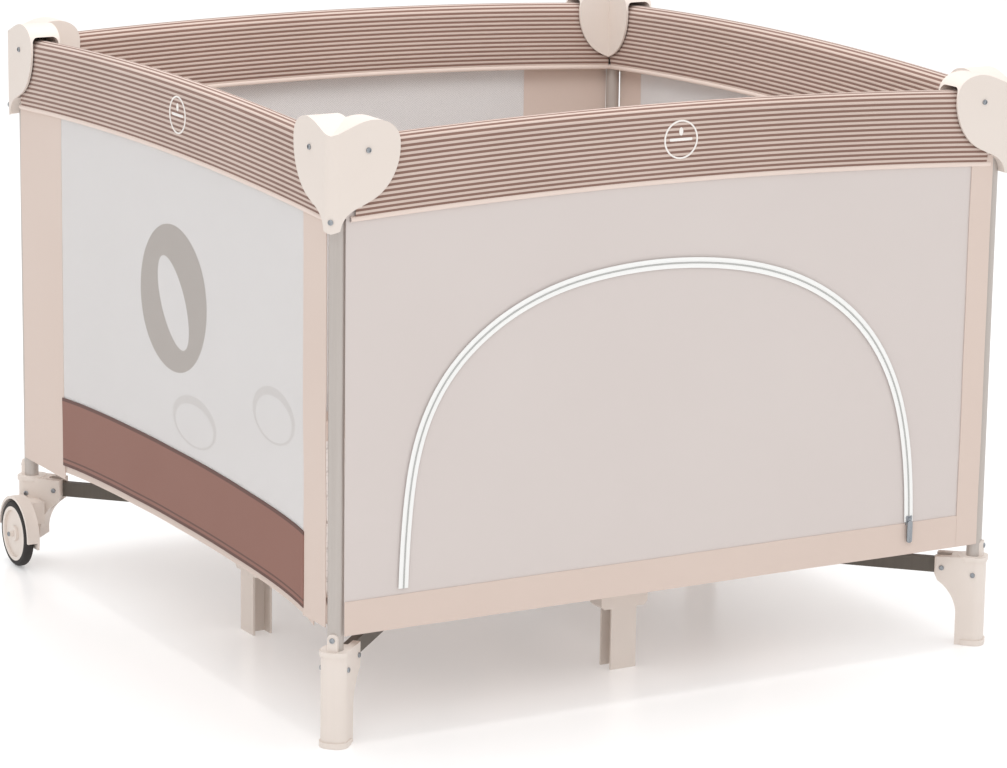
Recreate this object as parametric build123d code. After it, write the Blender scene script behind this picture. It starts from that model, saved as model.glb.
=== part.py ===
"""Square folding playpen: four tube legs, top rails that break at a centre lock, and a base of four
struts that rise with a centre hub.  Millimetres, +Z up, origin on the floor under the pen's centre.

Corners and sides are numbered round the pen, each a quarter turn from the last: corner 0 stands at
-X -Y and side 0 runs from it along +X.  A corner's own frame has its origin on the post's axis, u along
its side and v inward along the side before it, and d is the line from the post towards the hub."""
import os
from math import sqrt

from build123d import *

# ---- driving dimensions ---------------------------------------------------------------------------
HALF = 480.0            # post axis to the pen's centre plane
POST_R = 10.0
TUBE_WALL = 1.2
POST_BASE = 30.0
POST_TOP = 762.0
FIT = 0.05              # radial clearance of a tube or a pin in its hole
OPEN_FIT = 0.5          # radial clearance at the pivots where the linkage is open

STRUT_Z = 105.0         # height of every pivot of the base
FOOT_PIVOT = 40.0       # strut's outer pivot, inward from the post's axis
HUB_PIVOT = 55.0        # strut's inner pivot, outward from the hub's axis
STRUT_H = 20.0
STRUT_W = 12.0
PIN_R = 3.0
SLOT = 0.5              # gap between a bar's side and the cheek beside it

RAIL_Z = 740.0
RAIL_R = 9.0
RAIL_PIVOT = 30.0       # rail's outer pivot, along the side from the post's axis

LEG_INSET = 125.0       # middle leg's pivots, inward from the side
BAR_OFFSET = 22.0       # bar's pivot, sideways from its strut's centre plane
BAR_H = 14.0
BAR_W = 8.0

CAP_HALF = 22.0         # cap's faces, out from the post's axis
CAP_WALL = 3.0
FOOT_TOP = 122.0
FOOT_HALF_W = 17.0

WHEEL_R = 47.0
RIM_R = 39.0
WHEEL_W = 14.0
WHEEL_ALONG = 32.0      # axle's centre, inward from the post
WHEEL_OUT = 36.0        # wheel's middle plane, outward from the post
AXLE_R = 4.0

MAT_BASE = 126.0
MAT_GAP = 70.0          # post's axis to the mat's edge, which the floor cloth rises round to the walls
MAT_T = 18.0
COVER_T = 3.0
COVER_BASE = 128.0
COVER_TOP = 636.0
SKIRT_T = 18.0
SKIRT_TOP = 716.0
CAP_REACH = 73.0        # cap's tip, along the side from the post's axis
CAP_SHOULDER = 672.0    # below this the cap narrows to a tongue on the post's outer corner
CHANNEL_TOP = 761.0     # roof of the room for a rail and its sleeve inside a cap

ZIP_END_X = 360.0
ZIP_END_Z = 184.0
ZIP_OUT = 17.8          # the zip's tab hangs this far out from the posts' axes

# ---- the linkage, worked out from the dimensions above --------------------------------------------
ROOT2 = sqrt(2.0)
CORNER_R = HALF * ROOT2
STRUT_L = CORNER_R - FOOT_PIVOT - HUB_PIVOT
RAIL_L = STRUT_L / ROOT2
LOCK_HALF = HALF - RAIL_PIVOT - RAIL_L
OFF = BAR_OFFSET / ROOT2
LEG_PIVOT_X = HUB_PIVOT / ROOT2 - OFF
LEG_Y = HALF - LEG_INSET
REACH = LEG_Y - OFF - (HUB_PIVOT + STRUT_L) / ROOT2
# the bracket's place on the strut keeps the middle leg on the floor through the whole fold
BRACKET_S = (STRUT_L ** 2 / 2 + REACH ** 2) / (STRUT_L - ROOT2 * REACH)
BRACKET_D = FOOT_PIVOT + BRACKET_S
BRACKET_XY = (CORNER_R - BRACKET_D) / ROOT2
BAR_L = BRACKET_S
BAR_DX = (STRUT_L - BRACKET_S) / ROOT2
BAR_DY = LEG_Y - OFF - BRACKET_XY

CORNERS = ("front_left", "front_right", "back_right", "back_left")
SIDES = ("front", "right", "back", "left")


# ---- helpers --------------------------------------------------------------------------------------
def block(x0, x1, y0, y1, z0, z1):
    """A box between two corners."""
    return Pos((x0 + x1) / 2, (y0 + y1) / 2, (z0 + z1) / 2) * Box(x1 - x0, y1 - y0, z1 - z0)


def pin(radius, length):
    """A cylinder along Y, centred."""
    return Rot(90, 0, 0) * Cylinder(radius, length)


def at_corner(shape, index):
    """From a corner's u, v frame to the pen's."""
    return Rot(0, 0, 90 * index) * (Pos(-HALF, -HALF, 0) * shape)


def at_side(shape, index):
    """From side 0 to the side of that number."""
    return Rot(0, 0, 90 * index) * shape


def along_d(shape):
    """Turns a shape drawn along +X to lie along the corner's diagonal."""
    return Rot(0, 0, 45) * shape


def swap_uv(shape):
    """Mirror image of a corner's shape, with its two sides swapped."""
    return mirror(shape, about=Plane(origin=(0, 0, 0), z_dir=(1, -1, 0)))


def flat_bar(length, height, width, wall, hole_a, hole_b):
    """Hollow bar from a pivot at the origin to one at +X, its ends rounded about the pivots."""
    side = SlotCenterToCenter(length, height)
    body = Pos(length / 2, 0, 0) * extrude(Plane.XZ * side, width / 2, both=True)
    body -= Pos(length / 2, 0, 0) * Box(length + 2 * height, width - 2 * wall, height - 2 * wall)
    body -= pin(hole_a, 2 * width)
    body -= Pos(length, 0, 0) * pin(hole_b, 2 * width)
    return body


# ---- legs -----------------------------------------------------------------------------------------
def post():
    tube = Cylinder(POST_R, POST_TOP - POST_BASE) - Cylinder(POST_R - TUBE_WALL, POST_TOP)
    return Pos(0, 0, (POST_TOP + POST_BASE) / 2) * tube


def cap_wing():
    """One wing of the corner cap: a shield's outline drawn in u and z, as thick as the cap."""
    tip = (-7.0, 645.0)
    heel = (-CAP_HALF, 640.0)
    brow = (-CAP_HALF, 758.0)
    end = (CAP_REACH, 744.0)
    edge = Spline(end, (70.0, 722.0), (62.0, 704.0), (46.0, 686.0), (28.0, 676.0), (8.0, 667.0), tip)
    crown = Spline(brow, (0.0, 765.5), (36.0, 776.0), (62.0, 769.0), end)
    foot = Line(tip, heel)
    side = Line(heel, brow)
    shield = make_face(Curve() + [edge, crown, foot, side])
    return extrude(Plane.XZ * shield, CAP_HALF, both=True)


def cap_channel():
    """Room for a rail and its cover, open below so that the rail can drop."""
    half = CAP_HALF - CAP_WALL
    channel = block(12.0, 100.0, -half, half, 600.0, CHANNEL_TOP)
    upper = channel.edges().filter_by(Axis.X).sort_by(Axis.Z)[-2:]
    return fillet(upper, 8.0)


def corner_cap():
    wing = cap_wing()
    other = swap_uv(wing)
    upper = (wing + other) & block(-200.0, 200.0, -200.0, 200.0, CAP_SHOULDER, 900.0)
    tongue = wing & other & block(-200.0, 200.0, -200.0, 200.0, 600.0, CAP_SHOULDER)
    cap = upper + tongue
    bound = extrude(RectangleRounded(300.0, 300.0, 14.0), 900.0)
    cap = cap & (Pos(150.0 - CAP_HALF, 150.0 - CAP_HALF, 0) * bound)
    channel = cap_channel()
    cap -= channel
    cap -= swap_uv(channel)
    cap -= Pos(0, 0, 600.0) * extrude(Circle(POST_R + FIT), POST_TOP + 0.5 - 600.0)
    rail_pin = Pos(RAIL_PIVOT, 0, RAIL_Z) * pin(PIN_R, 2 * CAP_HALF - 2)
    return cap + rail_pin + swap_uv(rail_pin)


def foot_outline(low):
    """The foot's side, in d and z: a column that flares inward at the top to hold the strut.
    low is the height that the column reaches down to."""
    outer = -FOOT_HALF_W
    inner = 19.0
    nose = 50.0
    lines = [
        Line((outer, low), (outer, FOOT_TOP)),
        Line((outer, FOOT_TOP), (nose, FOOT_TOP - 2)),
        Line((nose, FOOT_TOP - 2), (nose, 97.0)),
        Line((nose, 97.0), (45.0, 87.0)),
        ThreePointArc((45.0, 87.0), (27.0, 69.0), (inner, 46.0)),
        Line((inner, 46.0), (inner, low)),
        Line((inner, low), (outer, low)),
    ]
    return make_face(Curve() + lines)


def foot_block(low):
    """The foot without its holes: rounded down its length, drawn along the diagonal."""
    solid = extrude(Plane.XZ * foot_outline(low), FOOT_HALF_W, both=True)
    outer = solid.edges().filter_by(Axis.Z).sort_by(Axis.X)[:2]
    solid = fillet(outer, 13.0)
    nose = solid.edges().filter_by(Axis.Z).sort_by(Axis.X)[-2:]
    return fillet(nose, 3.0)


def foot_lip(base, height):
    """A rim that stands a little proud of the column."""
    plan = RectangleRounded(2 * FOOT_HALF_W + 5.0, 2 * FOOT_HALF_W + 3.0, 14.0)
    return Pos(0.5, 0, base) * extrude(plan, height)


def foot_holes():
    """Socket for the post and the slot that the strut swings up in."""
    socket = Pos(0, 0, POST_BASE) * extrude(Circle(POST_R + FIT), 200.0)
    half = STRUT_W / 2 + SLOT
    slot = block(FOOT_PIVOT - STRUT_H / 2 - 1.0, 80.0, -half, half, 60.0, 200.0)
    return socket + slot


def foot_tongue():
    """Tab that runs up the post's outer side and takes the upper screw."""
    tab = block(-POST_R - 3.0, -POST_R + 4.0, -6.5, 6.5, FOOT_TOP - 4.0, 144.0)
    top = tab.edges().filter_by(Axis.X).sort_by(Axis.Z)[-2:]
    return fillet(top, 6.0)


def strut_pin():
    return Pos(FOOT_PIVOT, 0, STRUT_Z) * pin(PIN_R, 2 * FOOT_HALF_W - 4)


def foot_body(low):
    """Column, upper rim and tongue, the column reaching down to the height low."""
    return foot_block(low) + foot_lip(FOOT_TOP - 6.0, 6.0) + foot_tongue()


def plain_foot():
    solid = foot_body(0.0) + foot_lip(0.0, 7.0)
    return along_d(solid - foot_holes() + strut_pin())


def fender():
    """Mudguard over the wheel's upper half and the web that carries its axle, drawn round the axle
    with +Y up."""
    outer = WHEEL_R + 7.0
    inner = WHEEL_R + 3.0
    width = WHEEL_W + 4.0
    half_plane = Rot(0, 0, -4) * (Pos(0, -60.0, width / 2) * Box(240.0, 120.0, 2 * width))
    guard = extrude(Circle(outer) - Circle(inner), width) - half_plane
    web = extrude(Circle(outer), CAP_WALL) - Pos(0, -74.0, 0) * Box(240.0, 120.0, 3 * width)
    return guard + web


def wheel_foot():
    """Foot of a back corner: the same strut socket on a short fin, with the wheel beside it on the
    -v side."""
    inner_face = WHEEL_OUT - WHEEL_W / 2 - 4.5
    guard = Pos(WHEEL_ALONG, -inner_face, WHEEL_R) * (Rot(90, 0, 0) * fender())
    bridge = block(-6.0, WHEEL_ALONG + 14.0, -inner_face, 0.0, 60.0, 92.0)
    axle = Pos(WHEEL_ALONG, -WHEEL_OUT, WHEEL_R) * pin(AXLE_R, WHEEL_W + 12.0)
    boss = Pos(WHEEL_ALONG, -inner_face, WHEEL_R) * pin(9.0, 6.0)
    solid = along_d(foot_body(34.0)) + guard + bridge + axle + boss
    return solid - along_d(foot_holes()) + along_d(strut_pin())


def wheel_rim():
    """Moulded wheel with a dished outer face."""
    rim = Cylinder(RIM_R, WHEEL_W)
    dish = Pos(0, 0, WHEEL_W / 2) * (Cylinder(RIM_R - 5.0, 8.0) - Cylinder(11.0, 8.0))
    back = Pos(0, 0, -WHEEL_W / 2) * (Cylinder(RIM_R - 5.0, 10.0) - Cylinder(10.0, 10.0))
    rim = rim - dish - back - Cylinder(AXLE_R + FIT, 2 * WHEEL_W)
    return Rot(90, 0, 0) * rim


def tyre():
    ring = Cylinder(WHEEL_R, WHEEL_W) - Cylinder(RIM_R, 2 * WHEEL_W)
    shoulders = [e for e in ring.edges().filter_by(GeomType.CIRCLE) if e.radius > RIM_R + 1]
    return Rot(90, 0, 0) * fillet(shoulders, 5.0)


def at_wheel(shape):
    return Pos(WHEEL_ALONG, -WHEEL_OUT, WHEEL_R) * shape


# ---- base -----------------------------------------------------------------------------------------
def strut():
    """Strut from its foot to the hub, in the corner's frame."""
    bar = flat_bar(STRUT_L, STRUT_H, STRUT_W, TUBE_WALL, PIN_R + FIT, PIN_R + FIT)
    bar -= Pos(BRACKET_S, 0, 0) * pin(PIN_R + FIT, 2 * STRUT_W)
    return along_d(Pos(FOOT_PIVOT, 0, STRUT_Z) * bar)


def hub():
    """Centre hub: a round plate over four pairs of cheeks, each with its pin."""
    plate_base = STRUT_Z + STRUT_H / 2 + 0.8
    plate = Pos(0, 0, plate_base) * extrude(Circle(HUB_PIVOT + 14.0), 3.5)
    rim = plate.edges().filter_by(GeomType.CIRCLE).sort_by(Axis.Z)[-1]
    solid = fillet(rim, 2.5)
    inner = STRUT_W / 2 + SLOT
    for index in range(4):
        cheeks = block(HUB_PIVOT - 14, HUB_PIVOT + 9, inner, inner + 4, STRUT_Z - 9, plate_base)
        cheeks += block(HUB_PIVOT - 14, HUB_PIVOT + 9, -inner - 4, -inner, STRUT_Z - 9, plate_base)
        solid += Rot(0, 0, 45 + 90 * index) * cheeks
        solid += Rot(0, 0, 45 + 90 * index) * (Pos(HUB_PIVOT, 0, STRUT_Z) * pin(PIN_R, 2 * inner + 7))
    core = block(-20, 20, -20, 20, STRUT_Z - 9, plate_base)
    return solid + core


def hub_strap():
    """Webbing loop that the hub is pulled up by, standing through the gap in the mat."""
    loop = SlotCenterToCenter(34.0, 22.0) - SlotCenterToCenter(34.0, 18.0)
    ring = extrude(Plane.XZ * loop, 6.0, both=True)
    return Pos(0, 0, STRUT_Z + STRUT_H / 2 + 4.3 + 11.0) * ring


def bar_ears():
    """The two cheeks beside one bar, joined to the bracket's side, with the bar's pin."""
    inner = BAR_W / 2 + SLOT
    z0 = STRUT_Z - 8.0
    z1 = STRUT_Z + 9.0
    ears = block(-9, 7, inner, inner + 3, z0, z1) + block(-9, 7, -inner - 3, -inner, z0, z1)
    ears += block(-14, -9, -inner - 3, inner + 3, z0, z1)
    ears += Pos(0, 0, STRUT_Z) * pin(PIN_R, 2 * inner + 5)
    return Pos(OFF, -OFF, 0) * (Rot(0, 0, bar_angle()) * ears)


def bracket():
    """Block on the strut's pin that carries the two bars to the middle legs.  It stays upright as the
    strut turns through it, so it is bridged only below the strut on the hub's side."""
    inner = STRUT_W / 2 + SLOT
    wall = 4.0
    z0 = STRUT_Z - 20.0
    z1 = STRUT_Z + 11.0
    solid = block(-11, 24, inner, inner + wall, z0, z1) + block(-11, 24, -inner - wall, -inner, z0, z1)
    solid += block(12.5, 24, -inner, inner, z0, STRUT_Z - 11.5)
    solid += Pos(0, 0, STRUT_Z) * pin(PIN_R, 2 * inner + 2 * wall)
    ears = bar_ears()
    return Pos(BRACKET_D / ROOT2, BRACKET_D / ROOT2, 0) * (along_d(solid) + ears + swap_uv(ears))


def bar_angle():
    return -Vector(1, 0, 0).get_angle(Vector(BAR_DX, BAR_DY, 0))


def side_bar(open_end):
    """Bar of side 0 from corner 0's bracket to the middle leg.  open_end gives the hole at the leg."""
    bar = flat_bar(BAR_L, BAR_H, BAR_W, 1.0, PIN_R + FIT, open_end)
    start = Pos(-BRACKET_XY + OFF, -BRACKET_XY - OFF, STRUT_Z)
    return start * (Rot(0, 0, bar_angle()) * bar)


def middle_leg():
    """Leg under the middle of a side: an H section below a head with a slot for each bar."""
    head_base = 83.0
    half_y = 15.0
    head = block(-35, 35, -half_y, half_y, head_base, STRUT_Z + 9)
    head = chamfer(head.edges().filter_by(Axis.Y).sort_by(Axis.Z)[:2], 5.0)
    half = BAR_W / 2 + SLOT
    slot = block(-60, BAR_H / 2 + 1, -half, half, STRUT_Z - BAR_H / 2 - 1, 200)
    slot = Pos(-LEG_PIVOT_X, 0, 0) * (Rot(0, 0, bar_angle()) * slot)
    head = head - slot - mirror(slot, about=Plane.YZ)
    bar_pin = Pos(-LEG_PIVOT_X, 0, STRUT_Z) * (Rot(0, 0, bar_angle()) * pin(PIN_R, 2 * half_y - 6))
    head = head + bar_pin + mirror(bar_pin, about=Plane.YZ)
    web = block(-1.5, 1.5, -half_y + 1, half_y - 1, 0, head_base)
    flanges = block(-19, 19, -half_y + 1, -half_y + 4, 0, head_base)
    flanges += block(-19, 19, half_y - 4, half_y - 1, 0, head_base)
    return Pos(0, -LEG_Y, 0) * (head + web + flanges)


# ---- top rails ------------------------------------------------------------------------------------
def rail_half(inner_hole, outer_hole):
    """Tube of side 0 from its corner's pivot to the lock's, the holes given lock end last."""
    tube = Rot(0, 90, 0) * (Cylinder(RAIL_R, RAIL_L + 12) - Cylinder(RAIL_R - TUBE_WALL, RAIL_L + 40))
    tube = Pos(RAIL_L / 2, 0, 0) * tube
    tube -= pin(inner_hole, 4 * RAIL_R)
    tube -= Pos(RAIL_L, 0, 0) * pin(outer_hole, 4 * RAIL_R)
    return Pos(-HALF + RAIL_PIVOT, -HALF, RAIL_Z) * tube


def rail_lock():
    """Centre lock of side 0: a channel open above, so that the rails can fold up out of it."""
    wall = 2.5
    inner = RAIL_R + 0.8
    reach = LOCK_HALF + 13.0
    z0 = RAIL_Z - RAIL_R - 4.5
    z1 = RAIL_Z + RAIL_R + 4.0
    shell = block(-reach, reach, -inner - wall, inner + wall, z0, z1)
    shell = fillet(shell.edges().filter_by(Axis.Y), 5.0)
    shell -= block(-200, 200, -inner, inner, z0 + wall, 900)
    block_between = block(-LOCK_HALF + 14, LOCK_HALF - 14, -inner, inner, z0 + wall, z1 - 6)
    pins = Pos(-LOCK_HALF, 0, RAIL_Z) * pin(PIN_R, 2 * inner + 3)
    pins += Pos(LOCK_HALF, 0, RAIL_Z) * pin(PIN_R, 2 * inner + 3)
    return Pos(0, -HALF, 0) * (shell + block_between + pins)


# ---- soft parts -----------------------------------------------------------------------------------
def cover():
    """One side's fabric: the wall between two posts and the thick hanging part of its rail sleeve."""
    wall = block(-HALF + 12, HALF - 12, -HALF - COVER_T / 2, -HALF + COVER_T / 2, COVER_BASE, COVER_TOP)
    ends = HALF - CAP_REACH - 7
    skirt = block(-ends, ends, -HALF - SKIRT_T / 2, -HALF + SKIRT_T / 2, COVER_TOP, SKIRT_TOP)
    return wall + skirt


def mat_quarter():
    """A quarter of the padded floor, in its corner's frame, its inner corner cut for the strap."""
    near = MAT_GAP
    far = HALF - 1.0
    quarter = block(near, far, near, far, MAT_BASE, MAT_BASE + MAT_T)
    quarter = fillet(quarter.edges().filter_by(Axis.Z), 8.0)
    quarter = fillet(quarter.edges().group_by(Axis.Z)[-1], 6.0)
    notch = block(far - 32, far + 10, far - 8, far + 10, 0, 900)
    return quarter - notch - swap_uv(notch)


def zipper_pull():
    """Tab that hangs from the door's slider in front of the wall, with an eye for its ring."""
    tab = SlotCenterToCenter(22.0, 8.0)
    plate = extrude(Plane.XZ * (Rot(0, 0, 90) * tab), 1.0, both=True)
    plate -= Pos(0, 0, 11.0) * pin(2.0, 10.0)
    return Pos(ZIP_END_X, -HALF - ZIP_OUT, ZIP_END_Z - 11.0) * plate


# ---- every piece, in its place --------------------------------------------------------------------
def build():
    pieces = {}
    snug = PIN_R + FIT
    loose = PIN_R + OPEN_FIT
    post_shape = post()
    cap_shape = corner_cap()
    strut_shape = strut()
    bracket_shape = bracket()
    mat_shape = mat_quarter()
    feet = (plain_foot(), plain_foot(), swap_uv(wheel_foot()), wheel_foot())
    for index, corner in enumerate(CORNERS):
        pieces["post_" + corner] = at_corner(post_shape, index)
        pieces["corner_cap_" + corner] = at_corner(cap_shape, index)
        pieces["foot_" + corner] = at_corner(feet[index], index)
        pieces["strut_" + corner] = at_corner(strut_shape, index)
        pieces["strut_bracket_" + corner] = at_corner(bracket_shape, index)
        pieces["mat_" + corner] = at_corner(mat_shape, index)
    for index, name, shape in ((2, "back_right", swap_uv), (3, "back_left", lambda s: s)):
        pieces["wheel_rim_" + name] = at_corner(shape(at_wheel(wheel_rim())), index)
        pieces["wheel_tyre_" + name] = at_corner(shape(at_wheel(tyre())), index)
    across = Plane.YZ
    for index, side in enumerate(SIDES):
        pieces["rail_a_" + side] = at_side(rail_half(snug, snug), index)
        pieces["rail_b_" + side] = at_side(mirror(rail_half(loose, snug), about=across), index)
        pieces["rail_lock_" + side] = at_side(rail_lock(), index)
        pieces["side_bar_a_" + side] = at_side(side_bar(snug), index)
        pieces["side_bar_b_" + side] = at_side(mirror(side_bar(loose), about=across), index)
        pieces["middle_leg_" + side] = at_side(middle_leg(), index)
        pieces["cover_" + side] = at_side(cover(), index)
    pieces["hub"] = hub()
    pieces["hub_strap"] = hub_strap()
    pieces["zipper_pull"] = zipper_pull()
    return pieces


os.makedirs("parts", exist_ok=True)
for node, shape in build().items():
    export_step(shape, "parts/" + node + ".step")
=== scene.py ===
from math import pi, radians, tau

import bmesh
import bpy
from mathutils import Matrix, Vector


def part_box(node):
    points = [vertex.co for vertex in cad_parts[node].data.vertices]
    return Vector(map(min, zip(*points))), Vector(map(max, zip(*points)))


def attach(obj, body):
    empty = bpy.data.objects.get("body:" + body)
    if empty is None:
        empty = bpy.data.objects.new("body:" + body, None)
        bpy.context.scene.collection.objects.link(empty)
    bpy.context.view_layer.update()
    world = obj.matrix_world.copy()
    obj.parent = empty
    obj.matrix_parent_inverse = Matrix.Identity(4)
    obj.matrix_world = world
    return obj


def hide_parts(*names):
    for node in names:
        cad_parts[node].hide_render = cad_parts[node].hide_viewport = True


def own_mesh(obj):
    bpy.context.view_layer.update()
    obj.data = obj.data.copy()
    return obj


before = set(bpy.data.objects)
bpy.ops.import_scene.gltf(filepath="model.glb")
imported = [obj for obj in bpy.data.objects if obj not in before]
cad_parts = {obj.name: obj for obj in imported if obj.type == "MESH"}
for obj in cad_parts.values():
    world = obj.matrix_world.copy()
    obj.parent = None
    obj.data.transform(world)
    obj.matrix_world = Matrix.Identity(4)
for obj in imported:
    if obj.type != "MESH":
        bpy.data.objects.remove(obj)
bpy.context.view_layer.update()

# ---- the pen's own sizes, in metres -----------------------------------------------------------------
HALF = 0.48             # post axis to the pen's centre plane
FACE = 0.4915           # the walls' cloth hangs just outside the tubes
CLOTH_END = 0.474       # where a wall's cloth meets its posts, along the side
CLOTH_TOP = 0.700       # the cloth ends inside the rail sleeve
HEM_LOW = 0.142
HEM_HEIGHT = 0.042
LOCK_HALF = 0.0372      # half of the sleeve that covers a rail's lock

SLEEVE_LOW = 0.6595
SLEEVE_TOP = 0.7525
SLEEVE_HALF = 0.0165
SLEEVE_ROUND = 0.0155
SLEEVE_END = 0.463
SLEEVE_RISE = 0.0135    # the sleeve stands higher in the middle of a side
STRIPE = 0.0064
KNIT_PITCH = 0.0016
NET_PITCH = 0.0052
QUILT_PITCH = 0.06
COIL_PITCH = 0.0018

NET_FROM = -0.35        # a net runs between its two edge strips
NET_TO = 0.43
BAND_FROM = -0.334
BAND_TO = 0.416
BAND_LOW = 0.153
BAND_TOP = 0.250
BAND_RISE = 0.027       # the band stands higher in the middle of its side
WALL_GAP = 0.0012       # what is sewn on a wall lies this far out from it

SIDES = ("front", "right", "back", "left")
CORNERS = ("front_left", "front_right", "back_right", "back_left")
UP = Vector((0, 0, 1))


# ---- shader finishes --------------------------------------------------------------------------------
class Wire:
    """A socket of a finish, or a number, that takes part in sums."""

    def __init__(self, finish, socket):
        self.finish = finish
        self.socket = socket

    def maths(self, operation, *values):
        node = self.finish.tree.nodes.new("ShaderNodeMath")
        node.operation = operation
        for socket, value in zip(node.inputs, values):
            self.finish.feed(socket, value)
        return Wire(self.finish, node.outputs[0])

    def __add__(self, other):
        return self.maths("ADD", self, other)

    def __sub__(self, other):
        return self.maths("SUBTRACT", self, other)

    def __rsub__(self, other):
        return self.maths("SUBTRACT", other, self)

    def __mul__(self, other):
        return self.maths("MULTIPLY", self, other)

    def __truediv__(self, other):
        return self.maths("DIVIDE", self, other)

    def __gt__(self, other):
        return self.maths("GREATER_THAN", self, other)

    def __lt__(self, other):
        return self.maths("LESS_THAN", self, other)

    __radd__ = __add__
    __rmul__ = __mul__

    def sine(self):
        return self.maths("SINE", self)

    def absolute(self):
        return self.maths("ABSOLUTE", self)

    def squared(self):
        return self.maths("MULTIPLY", self, self)

    def least(self, other):
        return self.maths("MINIMUM", self, other)

    def most(self, other):
        return self.maths("MAXIMUM", self, other)

    def between(self, low, high):
        """1 where the value passes high, 0 below low, smooth between them."""
        return self.finish.node("ShaderNodeMapRange", {"interpolation_type": "SMOOTHSTEP"},
                                {"Value": self, "From Min": low, "From Max": high})


class Finish:
    """A material's Principled shader and the nodes that feed it."""

    def __init__(self, name, **plain):
        self.material = bpy.data.materials.new(name)
        self.material.use_nodes = True
        self.tree = self.material.node_tree
        self.shader = self.tree.nodes["Principled BSDF"]
        for socket, value in plain.items():
            self.shader.inputs[socket.replace("_", " ")].default_value = value
        self.place = self.node("ShaderNodeTexCoord", out="Object")

    def feed(self, socket, value):
        if isinstance(value, Wire):
            self.tree.links.new(value.socket, socket)
        else:
            socket.default_value = value

    def node(self, kind, settings=None, inputs=None, out=0):
        made = self.tree.nodes.new(kind)
        for name, value in (settings or {}).items():
            setattr(made, name, value)
        for name, value in (inputs or {}).items():
            self.feed(made.inputs[name], value)
        return Wire(self, made.outputs[out])

    def axes(self):
        """The place's x, y and z."""
        parts = self.tree.nodes.new("ShaderNodeSeparateXYZ")
        self.feed(parts.inputs[0], self.place)
        return [Wire(self, socket) for socket in parts.outputs]

    def cloud(self, scale, detail=2.0, stretch=(1, 1, 1)):
        """Soft noise from 0 to 1, at so many blots to the metre."""
        put = self.node("ShaderNodeMapping", {}, {"Vector": self.place, "Scale": stretch})
        return self.node("ShaderNodeTexNoise", {}, {"Vector": put, "Scale": scale, "Detail": detail})

    def tint(self, amount, dark, light):
        """A colour between two, by an amount from 0 to 1."""
        mix = self.tree.nodes.new("ShaderNodeMix")
        mix.data_type = "RGBA"
        self.feed(mix.inputs["Factor"], amount)
        self.feed(mix.inputs[6], dark)
        self.feed(mix.inputs[7], light)
        return Wire(self, mix.outputs[2])

    def paint(self, colour=None, roughness=None, alpha=None, height=None, depth=0.001, strength=0.5):
        """Joins what varies to the shader.  Height, from 0 to 1, makes relief as deep as depth."""
        if colour:
            self.feed(self.shader.inputs["Base Color"], colour)
        if roughness:
            self.feed(self.shader.inputs["Roughness"], roughness)
        if alpha:
            self.feed(self.shader.inputs["Alpha"], alpha)
        if height:
            relief = self.node("ShaderNodeBump", {},
                               {"Height": height, "Distance": depth, "Strength": strength})
            self.feed(self.shader.inputs["Normal"], relief)
        return self.material


def shade(red, green, blue):
    """A display colour of 0 to 255 as the shader's linear one."""
    def linear(part):
        part /= 255
        return part / 12.92 if part <= 0.04045 else ((part + 0.055) / 1.055) ** 2.4
    return (linear(red), linear(green), linear(blue), 1.0)


def weave(finish, pitch):
    """Plain weave seen on an upright wall or a flat floor: over and under threads, 0 to 1."""
    x, y, z = finish.axes()
    warp = ((x + y) * (tau / pitch)).sine()
    weft = ((z + (x - y) * 0.5) * (tau / pitch)).sine()
    return warp * weft * 0.5 + 0.5


def moulded_plastic(name, colour, dark, rough=0.42):
    made = Finish(name, Specular_IOR_Level=0.45)
    tone = made.cloud(9, 3)
    grain = made.cloud(900, 2)
    return made.paint(made.tint(tone, dark, colour), made.cloud(40) * 0.12 + rough, height=grain,
                      depth=0.0004, strength=0.25)


def drawn_metal(name, colour, dark, metallic, rough):
    """Tube metal with fine streaks along the draw."""
    made = Finish(name, Metallic=metallic, Specular_IOR_Level=0.5)
    streak = made.cloud(220, 3, (1, 1, 0.02))
    return made.paint(made.tint(streak, dark, colour), streak * 0.14 + rough, height=streak,
                      depth=0.0003, strength=0.2)


def woven_cloth(name, colour, dark, pitch=0.0011, rough=0.86, sheen=0.15):
    """Coated nylon: fine weave, faint clouding and long soft ripples."""
    made = Finish(name, Sheen_Weight=sheen, Sheen_Roughness=0.5, Specular_IOR_Level=0.25)
    threads = weave(made, pitch)
    tone = made.cloud(5, 3) * 0.7 + threads * 0.3
    ripple = made.cloud(3.5, 2, (1, 1, 0.35))
    return made.paint(made.tint(tone, dark, colour), rough - threads * 0.1,
                      height=ripple * 0.9 + threads * 0.02, depth=0.012, strength=0.35)


def netting(name, prints=None):
    """Open mesh cloth: diagonal threads and small holes, which printed shapes darken."""
    made = Finish(name, Specular_IOR_Level=0.2, Roughness=0.9)
    x, y, z = made.axes()
    along = x + y
    first = ((along + z) * (tau / NET_PITCH)).sine().absolute()
    second = ((along - z) * (tau / NET_PITCH)).sine().absolute()
    thread = 1 - first.least(second).between(0.25, 0.55)
    thin = made.cloud(4) * 0.06
    colour = made.tint(thread, shade(220, 217, 216), shade(240, 237, 236))
    alpha = thread * 0.28 + 0.72 - thin
    if prints:
        dark, pale = prints(made, y, z)
        colour = made.tint(pale * 0.32, colour, shade(196, 189, 185))
        inked = made.tint(thread, shade(160, 153, 148), shade(208, 201, 196))
        colour = made.tint(dark, colour, inked)
        alpha = alpha.most(dark * 0.95)
    return made.paint(colour, alpha=alpha, height=thread, depth=0.0006, strength=0.5)


def oval(y, z, at_y, at_z, half_y, half_z, lean=0.0):
    """1 inside an oval drawn on the left wall; lean slides its top towards the back."""
    across = (y - at_y - (z - at_z) * lean) / half_y
    tall = (z - at_z) / half_z
    return (across.squared() + tall.squared()) < 1.0


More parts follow.
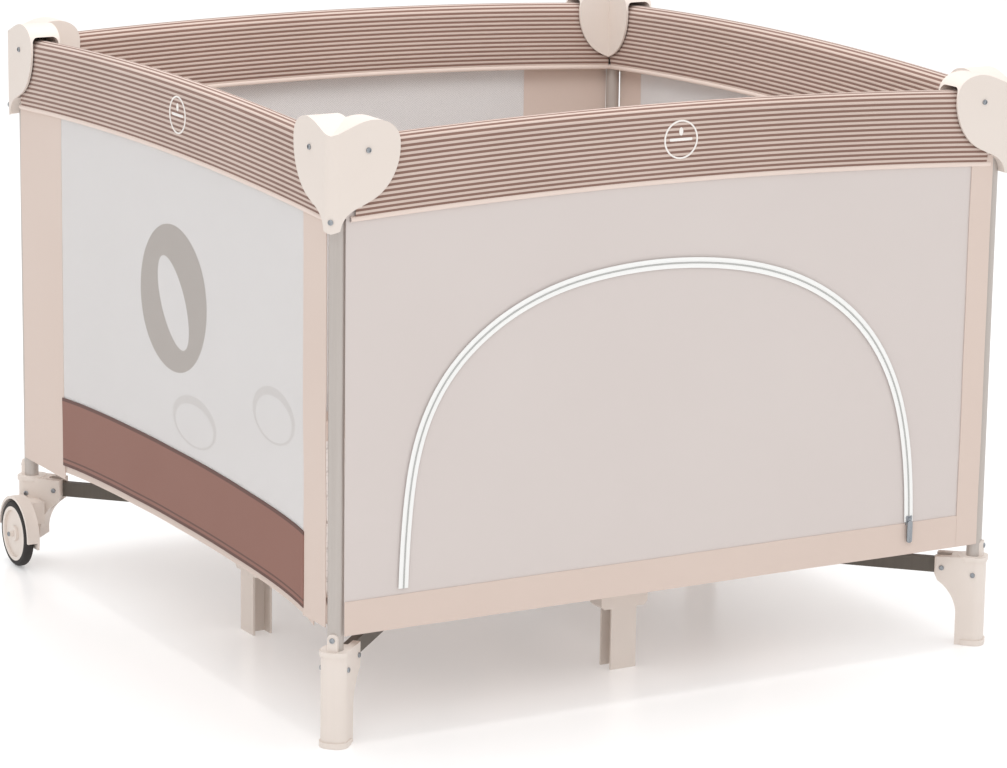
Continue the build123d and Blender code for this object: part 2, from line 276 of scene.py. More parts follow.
def left_prints(made, y, z):
    """A thick ring with a leaning hole, and two plain rounded stones low beside it."""
    ring = oval(y, z, -0.034, 0.477, 0.103, 0.097)
    hole = oval(y, z, -0.034, 0.471, 0.041, 0.058, 0.45)
    ring = ring * (1 - hole)
    stones = None
    for at_y, at_z, half_y, half_z in ((-0.098, 0.325, 0.066, 0.034), (-0.330, 0.384, 0.060, 0.036)):
        outline = oval(y, z, at_y, at_z, half_y, half_z) * (
            1 - oval(y, z, at_y, at_z - 0.004, half_y - 0.009, half_z - 0.007))
        stones = outline if stones is None else stones.most(outline)
    return ring, stones


def striped_sleeve():
    """Knitted sleeve with stripes along the rail, read from the sleeve's own map."""
    made = Finish("sleeve_stripes", Sheen_Weight=0.2, Sheen_Roughness=0.4, Specular_IOR_Level=0.2)
    chart = made.node("ShaderNodeUVMap", {"uv_map": "around"})
    parts = made.tree.nodes.new("ShaderNodeSeparateXYZ")
    made.feed(parts.inputs[0], chart)
    along, around = Wire(made, parts.outputs[0]), Wire(made, parts.outputs[1])
    wave = (around * (tau / STRIPE)).sine()
    brown = wave.between(-0.25, 0.25)
    knit = (along * (tau / KNIT_PITCH)).sine() * (around * (tau / KNIT_PITCH)).sine() * 0.5 + 0.5
    fade = made.cloud(6, 3)
    pale = made.tint(fade, shade(204, 184, 173), shade(216, 197, 187))
    deep = made.tint(fade, shade(130, 101, 90), shade(144, 114, 103))
    return made.paint(made.tint(brown, pale, deep), 0.92 - knit * 0.08,
                      height=wave * -0.35 + knit * 0.2 + fade * 0.9, depth=0.0022, strength=0.5)


def brown_band():
    """Woven band with a darker bound top edge and a dark double row below."""
    made = Finish("band_brown", Sheen_Weight=0.12, Sheen_Roughness=0.4, Specular_IOR_Level=0.25)
    chart = made.node("ShaderNodeUVMap", {"uv_map": "band"})
    parts = made.tree.nodes.new("ShaderNodeSeparateXYZ")
    made.feed(parts.inputs[0], chart)
    up = Wire(made, parts.outputs[1])
    threads = weave(made, 0.0011)
    tone = made.cloud(7, 3) * 0.6 + threads * 0.4
    field = made.tint(tone, shade(138, 99, 88), shade(147, 108, 97))
    edge = (up > 0.955).most(up < 0.045).most((up - 0.10).absolute() < 0.012)
    colour = made.tint(edge, field, shade(104, 76, 70))
    seam = ((up - 0.045).absolute() < 0.006).most((up - 0.10).absolute() < 0.006)
    return made.paint(colour, 0.85 - threads * 0.08, height=threads * 0.04 + made.cloud(5) - seam * 0.4,
                      depth=0.004, strength=0.35)


def quilted_mat():
    """Padding sewn down in a diamond of channels."""
    made = Finish("mat_quilt", Sheen_Weight=0.1, Specular_IOR_Level=0.25)
    x, y = made.axes()[:2]
    first = ((x + y) * (pi / QUILT_PITCH)).sine().absolute()
    second = ((x - y) * (pi / QUILT_PITCH)).sine().absolute()
    channel = first.least(second).between(0.0, 0.22)
    threads = weave(made, 0.0012)
    # The colour is darker along the sewn channels, where the padding dips, and lighter on the puffed
    # diamonds: painted shade in the grooves.
    colour = made.tint(channel * 0.8 + threads * 0.2, shade(206, 197, 191), shade(232, 224, 219))
    return made.paint(colour, 0.85 - threads * 0.1, height=channel + threads * 0.02,
                      depth=0.004, strength=0.6)


def knurled_coil():
    """The closed zip's teeth, in short ribs."""
    made = Finish("zip_coil", Specular_IOR_Level=0.4)
    x, _, z = made.axes()
    ribs = ((x + z) * (tau / COIL_PITCH)).sine() * 0.5 + 0.5
    # The colour is darker in the grooves between the ribs and lighter on their tops: painted shade in the
    # grooves.
    colour = made.tint(ribs, shade(158, 158, 156), shade(206, 206, 203))
    return made.paint(colour, 0.5 + ribs * 0.1, height=ribs, depth=0.0005, strength=0.6)


CREAM = moulded_plastic("cream_plastic", shade(228, 218, 210), shade(224, 212, 203))
LOCK = moulded_plastic("lock_grey", shade(120, 116, 112), shade(108, 104, 100), 0.5)
TYRE = moulded_plastic("tyre_rubber", shade(52, 48, 47), shade(40, 37, 36), 0.7)
TUBE = drawn_metal("post_aluminium", shade(194, 186, 180), shade(178, 170, 164), 0.35, 0.34)
RAIL = drawn_metal("rail_steel", shade(190, 188, 184), shade(160, 158, 154), 0.8, 0.32)
STEEL = drawn_metal("screw_steel", shade(178, 182, 186), shade(120, 124, 130), 0.95, 0.22)
DARK = drawn_metal("dark_steel", shade(104, 97, 89), shade(88, 82, 75), 0.2, 0.42)
WALL_CLOTH = woven_cloth("wall_nylon", shade(213, 204, 200), shade(208, 198, 194))
EDGE_CLOTH = woven_cloth("edge_nylon", shade(218, 201, 191), shade(211, 192, 181))
PIPING = woven_cloth("piping_cord", shade(232, 215, 205), shade(224, 206, 196), 0.0009)
ZIP_TAPE = woven_cloth("zip_tape", shade(246, 246, 244), shade(238, 238, 236), 0.0009)
THREAD = woven_cloth("badge_thread", shade(248, 244, 240), shade(236, 230, 225), 0.0008)
WEBBING = woven_cloth("strap_webbing", shade(150, 120, 110), shade(128, 100, 92), 0.0016)
NET = netting("side_netting")
PRINTED_NET = netting("printed_netting", left_prints)
STRIPES = striped_sleeve()
BAND = brown_band()
QUILT = quilted_mat()
COIL = knurled_coil()


# ---- workbench --------------------------------------------------------------------------------------
def start():
    """Nothing selected, out of edit mode."""
    if bpy.context.mode != "OBJECT":
        bpy.ops.object.mode_set(mode="OBJECT")
    bpy.ops.object.select_all(action="DESELECT")


def take(piece):
    """The piece alone is selected and active."""
    start()
    piece.select_set(True)
    bpy.context.view_layer.objects.active = piece
    return piece


def named(name):
    piece = bpy.context.object
    piece.name = name
    piece.data.name = name
    return piece


def settle(piece):
    """Puts the piece's place into its mesh."""
    take(piece)
    bpy.ops.object.transform_apply(location=True, rotation=True, scale=True)
    return piece


def edit(piece):
    take(piece)
    bpy.ops.object.mode_set(mode="EDIT")
    bpy.ops.mesh.select_all(action="DESELECT")


def pick(kind, test):
    """In edit mode, selects what passes: a vertex by its place, an edge by its middle and direction,
    a face by its middle and normal."""
    bpy.ops.mesh.select_mode(type=kind)
    bpy.ops.mesh.select_all(action="DESELECT")
    mesh = bpy.context.object.data
    shape = bmesh.from_edit_mesh(mesh)
    if kind == "VERT":
        for vertex in shape.verts:
            vertex.select_set(bool(test(vertex.co)))
    elif kind == "EDGE":
        for edge in shape.edges:
            a, b = (vertex.co for vertex in edge.verts)
            edge.select_set(bool(test((a + b) / 2, (b - a).normalized())))
    else:
        for face in shape.faces:
            face.select_set(bool(test(face.calc_center_median(), face.normal)))
    shape.select_flush_mode()
    bmesh.update_edit_mesh(mesh)


def lift(shift, reach, falloff):
    """Moves what is selected, and what lies within reach of it less and less."""
    bpy.ops.transform.translate(value=shift, use_proportional_edit=True, proportional_size=reach,
                                proportional_edit_falloff=falloff)


def finish_mesh(piece, turn_outward=True):
    start()
    edit(piece)
    bpy.ops.mesh.select_all(action="SELECT")
    bpy.ops.mesh.remove_doubles(threshold=0.00002)
    if turn_outward:
        bpy.ops.mesh.normals_make_consistent(inside=False)
    start()
    return piece


def smooth(piece, angle=40):
    take(piece)
    bpy.ops.object.shade_smooth_by_angle(angle=radians(angle))
    return piece


def add_modifier(piece, kind, **settings):
    """A modifier, set and applied at once."""
    take(piece)
    made = piece.modifiers.new(kind.lower(), kind)
    for name, value in settings.items():
        setattr(made, name, value)
    bpy.ops.object.modifier_apply(modifier=made.name)
    return piece


def box_piece(name, low, high):
    """A block to shape further, from its lowest and highest corners."""
    start()
    low, high = Vector(low), Vector(high)
    bpy.ops.mesh.primitive_cube_add(size=1, location=(low + high) / 2)
    piece = named(name)
    piece.scale = high - low
    return settle(piece)


def cloth_panel(name, u0, u1, z0, z1, out, columns, rows):
    """A flat cloth on the front side, between two places along it and two heights."""
    start()
    bpy.ops.mesh.primitive_grid_add(x_subdivisions=columns, y_subdivisions=rows, size=1,
                                    location=((u0 + u1) / 2, -out, (z0 + z1) / 2), rotation=(pi / 2, 0, 0))
    piece = named(name)
    piece.scale = (u1 - u0, z1 - z0, 1)
    return settle(piece)


def turned(piece, side):
    """The piece moves from the front side to another one."""
    piece.rotation_euler = (0, 0, side * pi / 2)
    return settle(piece)


def copied(piece, name):
    made = bpy.data.objects.new(name, piece.data.copy())
    made.data.name = name
    bpy.context.scene.collection.objects.link(made)
    return made


def dress(piece, material):
    piece.data.materials.clear()
    piece.data.materials.append(material)
    return piece


def folds_with_wall(piece, side):
    """The piece rides its side's first leg."""
    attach(piece, "leg_" + CORNERS[side])
    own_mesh(piece)
    return piece


RIPPLES = bpy.data.textures.new("wall_ripples", "CLOUDS")
RIPPLES.noise_scale = 0.16
RIPPLES.noise_depth = 1


def rippled(piece, side):
    """The same slight ripples for a wall and all that is sewn on it."""
    direction = "Y" if side % 2 == 0 else "X"
    return add_modifier(piece, "DISPLACE", texture=RIPPLES, texture_coords="LOCAL", direction=direction,
                        mid_level=0.5, strength=0.003)


def arch_up(piece, rise, reach=0.43, falloff="SPHERE"):
    """Lifts the piece's middle, as a taut cloth edge stands between two posts."""
    edit(piece)
    pick("VERT", lambda v: abs(v.x) < 0.009)
    lift((0, 0, rise), reach, falloff)
    start()
    return piece


# ---- walls ------------------------------------------------------------------------------------------
def sew(name, side, u0, u1, z0, z1, out, material, columns=24, rows=12, rise=0.0, thick=0.0012):
    """One cloth part of a wall, with its turned edge's thickness, on its side."""
    piece = cloth_panel(name, u0, u1, z0, z1, out, columns, rows)
    if rise:
        arch_up(piece, rise)
    add_modifier(piece, "SOLIDIFY", thickness=thick, offset=-1)
    turned(piece, side)
    rippled(piece, side)
    smooth(piece, 30)
    dress(piece, material)
    return folds_with_wall(piece, side)


def chart_band(piece):
    """The band's own map: along it, and from its lower edge to its upper one as 0 to 1."""
    columns = {}
    for vertex in piece.data.vertices:
        columns.setdefault(round(vertex.co.x, 3), []).append(vertex.co.z)
    chart = piece.data.uv_layers.new(name="band")
    for loop in piece.data.loops:
        co = piece.data.vertices[loop.vertex_index].co
        heights = columns[round(co.x, 3)]
        share = (co.z - min(heights)) / (max(heights) - min(heights))
        chart.data[loop.index].uv = (co.x, share)
    piece.data.uv_layers.active = chart


def front_wall():
    """The solid cloth side with its hem, its edge strip and the zipped door."""
    wall = sew("front_wall", 0, -CLOTH_END, CLOTH_END, HEM_LOW, CLOTH_TOP, FACE, WALL_CLOTH, 64, 40)
    hem = sew("front_hem", 0, -CLOTH_END, CLOTH_END, HEM_LOW - 0.001, HEM_LOW + HEM_HEIGHT,
              FACE + WALL_GAP, EDGE_CLOTH, 64, 4)
    strip = sew("front_edge_right", 0, CLOTH_END - 0.034, CLOTH_END, HEM_LOW, CLOTH_TOP, FACE + 0.0015,
                EDGE_CLOTH, 4, 40)
    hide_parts("cover_front")
    door = door_zip()
    [hem, strip] + door


def net_wall(side):
    """A side of netting between two cloth strips, over a cloth hem."""
    name = SIDES[side]
    material = PRINTED_NET if name == "left" else NET
    low = 0.200 if name == "left" else HEM_LOW + 0.02
    net = sew(name + "_net", side, NET_FROM, NET_TO, low, CLOTH_TOP, FACE - 0.0005, material, 48, 30,
              thick=0.0006)
    parts = [
        sew(name + "_edge_first", side, -CLOTH_END, -0.330, 0.150, CLOTH_TOP, FACE, EDGE_CLOTH, 6, 36),
        sew(name + "_edge_second", side, 0.414, CLOTH_END, 0.150, CLOTH_TOP, FACE, EDGE_CLOTH, 6, 36)]
    if name == "left":
        parts += band_parts(side)
    else:
        parts.append(sew(name + "_hem", side, -CLOTH_END, CLOTH_END, HEM_LOW, HEM_LOW + 0.05,
                         FACE + WALL_GAP, EDGE_CLOTH, 60, 5))
    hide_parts("cover_" + name)


def band_parts(side):
    """The band's cloth lining, seen below it, and the woven band itself."""
    lining = sew("left_lining", side, -0.40, 0.44, 0.143, 0.170, FACE - 0.0016, EDGE_CLOTH, 54, 3,
                 rise=BAND_RISE)
    band = cloth_panel("left_band", BAND_FROM, BAND_TO, BAND_LOW, BAND_TOP, FACE + WALL_GAP, 54, 10)
    arch_up(band, BAND_RISE)
    add_modifier(band, "SOLIDIFY", thickness=0.0014, offset=-1)
    chart_band(band)
    turned(band, side)
    rippled(band, side)
    smooth(band, 30)
    dress(band, BAND)
    folds_with_wall(band, side)
    return [lining, band]


# ---- the door's zip ---------------------------------------------------------------------------------
DOOR_LINE = ((-0.394, 0.192), (-0.391, 0.315), (-0.370, 0.418), (-0.290, 0.505), (-0.175, 0.558),
             (-0.010, 0.572), (0.160, 0.545), (0.278, 0.470), (0.342, 0.365), (0.358, 0.265),
             (0.360, 0.186))


def along_door(name, half_width, thick, out, material):
    """A flat strip that follows the door's line on the front wall."""
    line = bpy.data.curves.new(name, "CURVE")
    line.dimensions = "2D"
    line.fill_mode = "NONE"
    path = line.splines.new("NURBS")
    path.points.add(len(DOOR_LINE) - 1)
    for point, (x, z) in zip(path.points, DOOR_LINE):
        point.co = (x, z, 0, 1)
    path.order_u = 4
    path.use_endpoint_u = True
    path.resolution_u = 10
    start()
    bpy.ops.curve.primitive_bezier_circle_add(radius=half_width)
    section = bpy.context.object
    section.scale = (1, thick / half_width, 1)
    section.data.resolution_u = 3
    settle(section)
    line.bevel_mode = "OBJECT"
    line.bevel_object = section
    line.use_fill_caps = True
    strip = bpy.data.objects.new(name, line)
    bpy.context.scene.collection.objects.link(strip)
    strip.location = (0, -out, 0)
    strip.rotation_euler = (pi / 2, 0, 0)
    take(strip)
    bpy.ops.object.convert(target="MESH")
    strip = named(name)
    settle(strip)
    bpy.data.objects.remove(section)
    finish_mesh(strip)
    rippled(strip, 0)
    smooth(strip, 50)
    dress(strip, material)
    return folds_with_wall(strip, 0)


def slider():
    """The zip's slider: a small block with a raised bridge for the pull."""
    x, z = DOOR_LINE[-1]
    body = box_piece("zip_slider", (x - 0.0045, -FACE - 0.0050, z - 0.004),
                     (x + 0.0045, -FACE - 0.0018, z + 0.008))
    edit(body)
    pick("FACE", lambda at, normal: normal.y < -0.9)
    bpy.ops.mesh.inset(thickness=0.0016)
    bpy.ops.mesh.extrude_region_move(TRANSFORM_OT_translate={"value": (0, -0.0012, 0)})
    bpy.ops.mesh.select_all(action="SELECT")
    bpy.ops.mesh.bevel(offset=0.0004, segments=2, affect="EDGES")
    start()
    smooth(body)
    dress(body, STEEL)
    return folds_with_wall(body, 0)


def door_zip():
    tape = along_door("zip_tape", 0.0068, 0.0006, FACE + 0.0024, ZIP_TAPE)
    coil = along_door("zip_coil", 0.0011, 0.0006, FACE + 0.0033, COIL)
    return [tape, coil, slider()]


def zip_tab():
    """The slider's hanging tab, with rounded edges and inset faces, in place of the plain one."""
    low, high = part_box("zipper_pull")
    tab = box_piece("zip_tab", low, high)
    edit(tab)
    pick("EDGE", lambda at, way: abs(way.y) > 0.9)
    bpy.ops.mesh.bevel(offset=0.0032, segments=5, affect="EDGES")
    pick("FACE", lambda at, normal: abs(normal.y) > 0.9)
    bpy.ops.mesh.inset(thickness=0.0012, depth=-0.0003)
    start()
    smooth(tab)
    dress(tab, STEEL)
    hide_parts("zipper_pull")
    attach(tab, "zipper_pull")
    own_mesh(tab)


# ---- rail sleeves -----------------------------------------------------------------------------------
def chart_sleeve(piece):
    """The sleeve's own map: along the rail, and round the sleeve from its outer lower edge."""
    centre = SLEEVE_TOP - SLEEVE_ROUND
    chart = piece.data.uv_layers.new(name="around")
    for loop in piece.data.loops:
        co = piece.data.vertices[loop.vertex_index].co
        inward = co.y + HALF
        if co.z < centre:
            around = co.z if inward < 0 else centre + pi * SLEEVE_ROUND + centre - co.z
        else:
            slope = Vector((-inward, co.z - centre)).angle_signed(Vector((1, 0)))
            around = centre + SLEEVE_ROUND * slope
        chart.data[loop.index].uv = (co.x, around)
    piece.data.uv_layers.active = chart


def whole_sleeve():
    """The padded sleeve over the front rail, from one cap to the other."""
    sleeve = box_piece("sleeve", (-SLEEVE_END, -HALF - SLEEVE_HALF, SLEEVE_LOW),
                       (SLEEVE_END, -HALF + SLEEVE_HALF, SLEEVE_TOP))
    edit(sleeve)
    pick("FACE", lambda at, normal: abs(normal.x) > 0.9)
    bpy.ops.mesh.delete(type="ONLY_FACE")
    pick("EDGE", lambda at, way: abs(way.x) > 0.9 and at.z > SLEEVE_TOP - 0.001)
    bpy.ops.mesh.bevel(offset=SLEEVE_ROUND, segments=8, affect="EDGES")
    pick("EDGE", lambda at, way: abs(way.z) > 0.9)
    bpy.ops.mesh.subdivide(number_cuts=5)
    pick("EDGE", lambda at, way: abs(way.x) > 0.9)
    bpy.ops.mesh.subdivide(number_cuts=71)
    start()
    chart_sleeve(sleeve)
    edit(sleeve)
    pick("VERT", lambda v: v.z < SLEEVE_LOW + 0.001)
    bpy.ops.transform.resize(value=(1, 0.86, 1), center_override=(0, -HALF, SLEEVE_LOW))
    start()
    return arch_up(sleeve, SLEEVE_RISE, SLEEVE_END, "INVERSE_SQUARE")


def whole_piping():
    """The cord of cloth that closes the sleeve's lower edge."""
    low = SLEEVE_LOW - 0.0062
    piping = box_piece("piping", (-SLEEVE_END - 0.006, -HALF - 0.0155, low),
                       (SLEEVE_END + 0.006, -HALF + 0.0155, SLEEVE_LOW + 0.0004))
    edit(piping)
    pick("FACE", lambda at, normal: abs(normal.x) > 0.9)
    bpy.ops.mesh.delete(type="ONLY_FACE")
    pick("EDGE", lambda at, way: abs(way.x) > 0.9)
    bpy.ops.mesh.bevel(offset=0.0027, segments=3, affect="EDGES")
    pick("EDGE", lambda at, way: abs(way.x) > 0.9)
    bpy.ops.mesh.subdivide(number_cuts=71)
    start()
    return arch_up(piping, SLEEVE_RISE, SLEEVE_END, "INVERSE_SQUARE")


def cut_piece(whole, name, start_at, end_at):
    """What lies between two places along the side."""
    piece = copied(whole, name)
    for place, keep_above in ((start_at, True), (end_at, False)):
        if place is None:
            continue
        edit(piece)
        bpy.ops.mesh.select_all(action="SELECT")
        bpy.ops.mesh.bisect(plane_co=(place, 0, 0), plane_no=(1, 0, 0), clear_inner=keep_above,
                            clear_outer=not keep_above)
        start()
    return piece


def rail_cover(whole, label, material, side):
    """The cover's three parts, which ride on the rail's halves and on its lock."""
    name = SIDES[side]
    parts = ((label + "_a_" + name, None, -LOCK_HALF, "rail_a_" + name),
             (label + "_lock_" + name, -LOCK_HALF, LOCK_HALF, "lock_" + name),
             (label + "_b_" + name, LOCK_HALF, None, "rail_b_" + name))
    for title, begin, end, body in parts:
        piece = turned(cut_piece(whole, title, begin, end), side)
        smooth(piece, 50)
        dress(piece, material)
        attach(piece, body)
        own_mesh(piece)


def rail_covers():
    sleeve, piping = whole_sleeve(), whole_piping()
    for side in range(4):
        rail_cover(sleeve, "sleeve", STRIPES, side)
        rail_cover(piping, "piping", PIPING, side)
    bpy.data.objects.remove(sleeve)
    bpy.data.objects.remove(piping)


def badge(side, along, height, body):
    """A stitched round patch: a raised ring, a leaf and a bar."""
    out = HALF + SLEEVE_HALF
    start()
    bpy.ops.mesh.primitive_circle_add(vertices=48, radius=0.0245, fill_type="NGON",
                                      location=(along, -out + 0.0006, height), rotation=(pi / 2, 0, 0))
    ring = settle(named("badge_" + SIDES[side]))
    edit(ring)
    bpy.ops.mesh.select_all(action="SELECT")
    bpy.ops.mesh.inset(thickness=0.0021)
    bpy.ops.mesh.delete(type="FACE")
    bpy.ops.mesh.select_all(action="SELECT")
    bpy.ops.mesh.extrude_region_move(TRANSFORM_OT_translate={"value": (0, -0.0016, 0)})
    start()
    bpy.ops.mesh.primitive_circle_add(vertices=20, radius=0.0052, fill_type="NGON",
                                      location=(along, -out + 0.0006, height + 0.010),
                                      rotation=(pi / 2, 0, 0))
    leaf = bpy.context.object
    leaf.scale = (0.55, 1, 1)
    settle(leaf)
    bar = box_piece("bar", (along - 0.0165, -out - 0.0008, height - 0.0018),
                    (along + 0.0165, -out + 0.0006, height + 0.0018))
    edit(bar)
    pick("EDGE", lambda at, way: abs(way.y) > 0.9)
    bpy.ops.mesh.bevel(offset=0.0015, segments=3, affect="EDGES")
    edit(leaf)
    bpy.ops.mesh.select_all(action="SELECT")
    bpy.ops.mesh.extrude_region_move(TRANSFORM_OT_translate={"value": (0, -0.0014, 0)})
    start()
    for part in (leaf, bar, ring):
        part.select_set(True)
    bpy.context.view_layer.objects.active = ring
    bpy.ops.object.join()
    finish_mesh(ring)
    add_modifier(ring, "BEVEL", width=0.0003, segments=2)
    smooth(ring)
    turned(ring, side)
    dress(ring, THREAD)
    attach(ring, body)
    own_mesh(ring)


# ---- screws -----------------------------------------------------------------------------------------
def screw_head():
    """A domed head with a crossed recess, its seat at the origin and its face towards -Y."""
    start()
    bpy.ops.mesh.primitive_cylinder_add(vertices=24, radius=0.0034, depth=0.0022, location=(0, -0.0008, 0),
                                        rotation=(pi / 2, 0, 0))
    head = settle(named("screw"))
    edit(head)
    pick("FACE", lambda at, normal: normal.y < -0.9)
    bpy.ops.mesh.bevel(offset=0.0009, segments=3, affect="EDGES")
    pick("FACE", lambda at, normal: normal.y < -0.9)
    bpy.ops.mesh.inset(thickness=0.0009)
    bpy.ops.mesh.extrude_region_move(TRANSFORM_OT_translate={"value": (0, 0.0007, 0)})
    start()
    return smooth(head, 35)


def set_screw(head, name, at, facing, body):
    """A screw at a place, facing an angle round the pen, 0 for the front."""
    screw = copied(head, name)
    screw.matrix_world = Matrix.Translation(at) @ Matrix.Rotation(facing, 4, "Z")
    bpy.context.view_layer.update()
    settle(screw)
    dress(screw, STEEL)
    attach(screw, body)


def all_screws():
    head = screw_head()
    cap_face = 0.022
    for index, corner in enumerate(CORNERS):
        turn = Matrix.Rotation(index * pi / 2, 3, "Z")
        post = turn @ Vector((-HALF, -HALF, 0))
        body = "leg_" + corner
        quarter = index * pi / 2
        spots = {"cap_first": (Vector((0.030, -cap_face - 0.0002, 0.740)), 0),
                 "cap_second": (Vector((-cap_face - 0.0002, 0.030, 0.740)), -pi / 2),
                 "cap_low": (Vector((-0.0180, -0.0180, 0.656)), -pi / 4)}
        inward = Vector((1, 1, 0)).normalized()
        across = Vector((1, -1, 0)).normalized()
        for cheek, way in (("right", 1), ("left", -1)):
            for label, along, height in (("post", -0.002, 0.098), ("strut", 0.040, 0.105)):
                offset = inward * along + across * way * 0.0172 + UP * height
                spots["foot_" + label + "_" + cheek] = (offset, pi / 4 if way > 0 else pi * 5 / 4)
        spots["foot_tab"] = (inward * -0.0131 + UP * 0.1365, -pi / 4)
        if corner == "back_left":
            spots["axle"] = (Vector((0.032, -0.0490, 0.047)), 0)
        if corner == "back_right":
            spots["axle"] = (Vector((-0.0490, 0.032, 0.047)), -pi / 2)
        for label, (offset, facing) in spots.items():
            set_screw(head, "screw_" + label + "_" + corner, post + turn @ offset, facing + quarter, body)
    bpy.data.objects.remove(head)


# ---- floor mat and strap ----------------------------------------------------------------------------
def swell(pad, most):
    """Fills the pad like a cushion, each point moving no further than most."""
    rest = [vertex.co.copy() for vertex in pad.data.vertices]
    cloth = take(pad).modifiers.new("cloth", "CLOTH")
    cloth.settings.use_pressure = True
    cloth.settings.uniform_pressure_force = 4
    cloth.settings.effector_weights.gravity = 0
    cloth.settings.quality = 4
    scene = bpy.context.scene
    for step in range(1, 21):
        scene.frame_set(step)
    bpy.ops.object.modifier_apply(modifier="cloth")
    scene.frame_set(1)
    for vertex, place in zip(pad.data.vertices, rest):
        move = vertex.co - place
        if move.length > most:
            vertex.co = place + move.normalized() * most


def mat_quarters():
    pad = copied(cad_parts["mat_front_left"], "pad")
    finish_mesh(pad, False)
    edit(pad)
    bpy.ops.mesh.select_all(action="SELECT")
    bpy.ops.transform.shrink_fatten(value=-0.003)
    start()
    add_modifier(pad, "REMESH", mode="VOXEL", voxel_size=0.006)
    swell(pad, 0.004)
    add_modifier(pad, "SUBSURF", levels=1, render_levels=1)
    smooth(pad, 60)
    for index, corner in enumerate(CORNERS):
        mat = turned(copied(pad, "mat_pad_" + corner), index)
        dress(mat, QUILT)
        smooth(mat, 60)
        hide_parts("mat_" + corner)
        rides_with_mat(mat, index)
    bpy.data.objects.remove(pad)


FLOOR_Z = 0.1235
RISE_WIDTH = 0.072      # the floor cloth's border, which rises to the walls' hems


def border_height(side, along):
    """Where the floor cloth meets a wall: at its hem, and higher in the middle under the band."""
    if SIDES[side] != "left":
        return 0.150
    return 0.147 + 0.024 * max(0.0, 1 - (along / 0.43) ** 2) ** 0.5


def floor_cloths():
    """The cloth floor: a quarter rides on each strut, flat under its mat and rising to the walls."""
    for index, corner in enumerate(CORNERS):
        start()
        size = HALF - 0.004
        bpy.ops.mesh.primitive_grid_add(x_subdivisions=40, y_subdivisions=40, size=size,
                                        location=(-size / 2 - 0.002, -size / 2 - 0.002, FLOOR_Z))
        cloth = settle(named("floor_cloth_" + corner))
        edit(cloth)
        pick("VERT", lambda v: (v - Vector((-HALF, -HALF, v.z))).length < 0.035)
        bpy.ops.mesh.delete(type="VERT")
        start()
        for vertex in cloth.data.vertices:
            x, y = vertex.co.x, vertex.co.y
            for gap, side, along in ((y + HALF, index, x), (x + HALF, (index - 1) % 4, y)):
                share = max(0.0, 1 - (gap - 0.002) / RISE_WIDTH)
                height = FLOOR_Z + (border_height(side, along) - FLOOR_Z) * share ** 1.25
                vertex.co.z = max(vertex.co.z, height)
        add_modifier(cloth, "SOLIDIFY", thickness=0.0012, offset=-1)
        turned(cloth, index)
        smooth(cloth, 40)
        dress(cloth, EDGE_CLOTH)
        rides_with_mat(cloth, index)


def rides_with_mat(piece, index):
    """The piece rides its strut and swings up with it."""
    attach(piece, "strut_" + CORNERS[index])
    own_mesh(piece)


def lift_strap():
    """The webbing loop that the hub is pulled up by."""
    low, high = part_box("hub_strap")
    middle, size = (low + high) / 2, high - low
    radius = size.z / 2 - 0.001
    start()
    bpy.ops.mesh.primitive_circle_add(vertices=24, radius=radius, location=(middle.x, low.y, middle.z),
                                      rotation=(pi / 2, 0, 0))
    strap = settle(named("lift_strap"))
    reach = size.x / 2 - radius - 0.001
    edit(strap)
    for way in (1, -1):
        pick("VERT", lambda v: (v.x - middle.x) * way > 0.0001)
        bpy.ops.transform.translate(value=(way * reach, 0, 0))
    bpy.ops.mesh.select_all(action="SELECT")
    bpy.ops.mesh.extrude_region_move(TRANSFORM_OT_translate={"value": (0, size.y, 0)})
    start()
    finish_mesh(strap)
    add_modifier(strap, "SOLIDIFY", thickness=0.0018, offset=-1)
    add_modifier(strap, "BEVEL", width=0.0004, segments=2)
    smooth(strap)
    dress(strap, WEBBING)
    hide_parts("hub_strap")
    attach(strap, "hub")


# ---- finishes of the frame's own parts --------------------------------------------------------------
FRAME_FINISHES = {"post_": TUBE, "corner_cap_": CREAM, "foot_": CREAM, "strut_bracket_": CREAM,
                  "strut_": DARK, "rail_lock_": LOCK, "rail_a_": RAIL, "rail_b_": RAIL, "side_bar_": DARK,
                  "middle_leg_": CREAM, "wheel_rim_": CREAM, "wheel_tyre_": TYRE, "hub": CREAM}


def finish_frame():
    for name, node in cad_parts.items():
        for start_of_name, material in FRAME_FINISHES.items():
            if name.startswith(start_of_name):
                node.data.materials.clear()
                node.data.materials.append(material)
                break


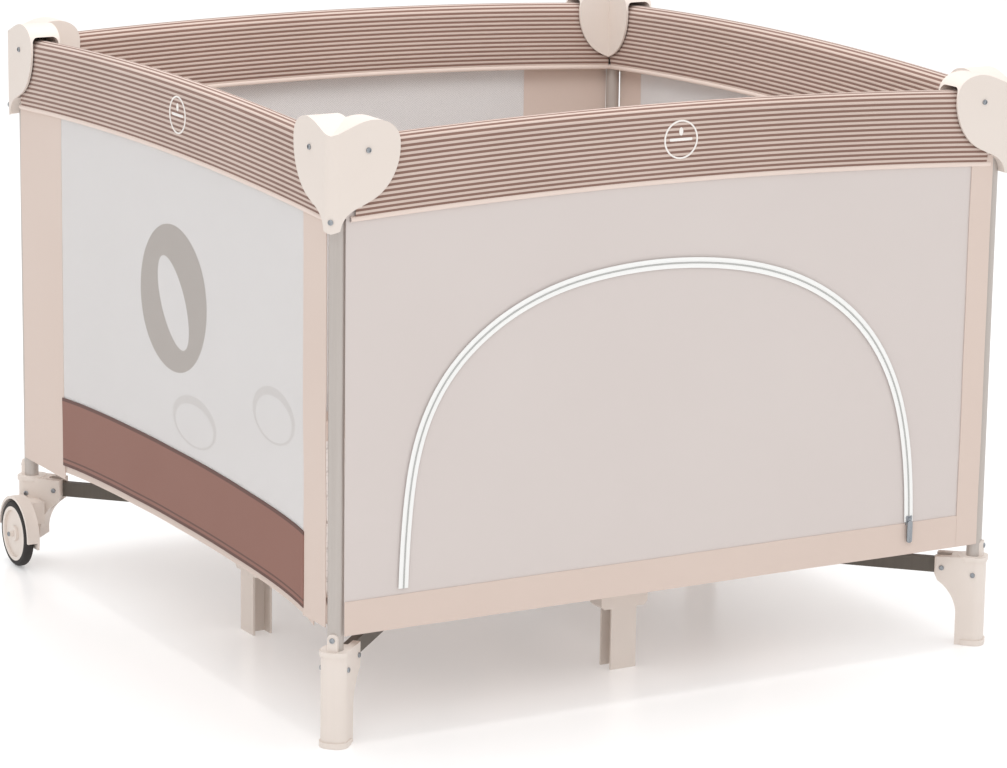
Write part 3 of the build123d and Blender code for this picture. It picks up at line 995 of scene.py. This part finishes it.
# ---- studio -----------------------------------------------------------------------------------------
def floor():
    start()
    bpy.ops.mesh.primitive_grid_add(x_subdivisions=4, y_subdivisions=4, size=120, location=(0, 0, -0.0005))
    ground = named("studio_floor")
    made = Finish("studio_floor", Specular_IOR_Level=0.4, Emission_Color=(1, 1, 1, 1),
                  Emission_Strength=0.25)
    tone = made.cloud(0.5, 2)
    white = made.tint(tone, shade(236, 236, 236), shade(240, 240, 240))
    dress(ground, made.paint(white, tone * 0.05 + 0.22))


def soft_light(name, place, size, power, aim=(0, 0, 0.4)):
    """A square lamp that faces the place it is aimed at, unseen itself."""
    start()
    bpy.ops.object.light_add(type="AREA", location=place)
    lamp = bpy.context.object
    lamp.name = name
    lamp.data.size = size
    lamp.data.energy = power
    lamp.rotation_euler = (Vector(place) - Vector(aim)).to_track_quat("Z", "Y").to_euler()
    lamp.visible_camera = False


def studio():
    floor()
    soft_light("key_light", (-3.2, -4.2, 4.6), 3.0, 57)
    soft_light("fill_light", (4.4, -3.0, 2.6), 3.5, 14)
    soft_light("top_light", (0.4, 0.8, 5.0), 4.0, 84)
    soft_light("inside_light", (-0.25, -0.30, 1.5), 0.5, 4.5, (0.30, 0.42, 0.70))
    world = bpy.data.worlds.new("studio_air")
    bpy.context.scene.world = world
    world.use_nodes = True
    air = world.node_tree.nodes["Background"]
    air.inputs["Color"].default_value = (1.0, 1.0, 1.0, 1.0)
    air.inputs["Strength"].default_value = 0.86
    bpy.context.scene.view_settings.view_transform = "Standard"


def camera():
    start()
    bpy.ops.object.camera_add(location=(-2.505, -4.449, 1.486))
    eye = bpy.context.object
    eye.name = "camera"
    yaw, pitch, roll = radians(29.61), radians(-13.01), radians(0.82)
    turn = Matrix.Rotation(-yaw, 4, "Z") @ Matrix.Rotation(pi / 2 + pitch, 4, "X")
    eye.rotation_euler = (turn @ Matrix.Rotation(roll, 4, "Z")).to_euler()
    eye.data.sensor_width = 36
    eye.data.lens = 136
    eye.data.clip_end = 200
    bpy.context.scene.camera = eye


# ---- putting it together ----------------------------------------------------------------------------
finish_frame()
front_wall()
for wall_side in (1, 2, 3):
    net_wall(wall_side)
zip_tab()
rail_covers()
badge(0, -0.0105, 0.722, "lock_front")
badge(3, 0.064, 0.722, "rail_b_left")
all_screws()
mat_quarters()
floor_cloths()
lift_strap()
studio()
camera()
